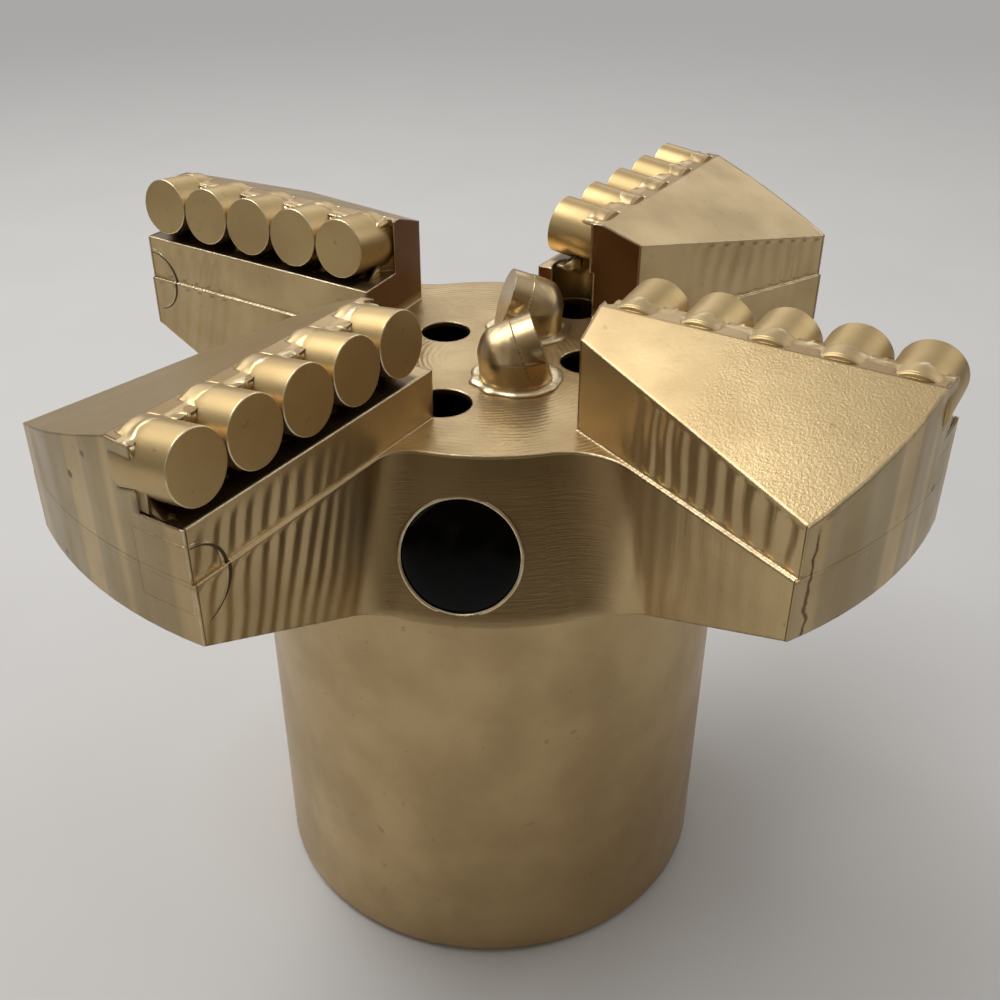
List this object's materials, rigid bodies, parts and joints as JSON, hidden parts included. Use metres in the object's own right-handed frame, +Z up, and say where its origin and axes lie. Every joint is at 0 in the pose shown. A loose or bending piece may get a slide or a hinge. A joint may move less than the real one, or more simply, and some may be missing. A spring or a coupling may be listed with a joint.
{
  "type": "pdc drill bit",
  "caption": "Wedge-bladed rotary drill bit with round carbide compacts along each blade, stud cutters on its face and a plain round shank with a threaded box.",
  "frame": {"origin": "centre of the shank's bottom face, on the bit's axis", "axes": "+Z up the bit's axis towards the cutting face; the blades stand round Z, their cutter rows 58.2 degrees and each further quarter turn from +X"},
  "size_m": [0.176, 0.176, 0.161],
  "materials": {
    "body": "satin metallic gold paint over milled steel",
    "compact": "satin metallic gold paint over smooth carbide",
    "stud": "brighter gold paint over a polished stud",
    "plug": "glossy black"
  },
  "bodies": {
    "root": {"bit_body": "body", "cutter_1_1": "compact", "cutter_1_2": "compact", "cutter_1_3": "compact", "cutter_1_4": "compact", "cutter_1_5": "compact", "cutter_2_1": "compact", "cutter_2_2": "compact", "cutter_2_3": "compact", "cutter_2_4": "compact", "cutter_2_5": "compact", "cutter_3_1": "compact", "cutter_3_2": "compact", "cutter_3_3": "compact", "cutter_3_4": "compact", "cutter_3_5": "compact", "cutter_4_1": "compact", "cutter_4_2": "compact", "cutter_4_3": "compact", "cutter_4_4": "compact", "cutter_4_5": "compact", "gauge_cutter_1": "compact", "gauge_cutter_2": "compact", "gauge_cutter_3": "compact", "gauge_cutter_4": "compact", "port_plug_1": "plug", "port_plug_2": "plug", "port_plug_3": "plug", "port_plug_4": "plug", "stud_front": "stud", "stud_disc_front": "compact", "stud_back": "stud", "stud_disc_back": "compact"}
  },
  "joints": []
}
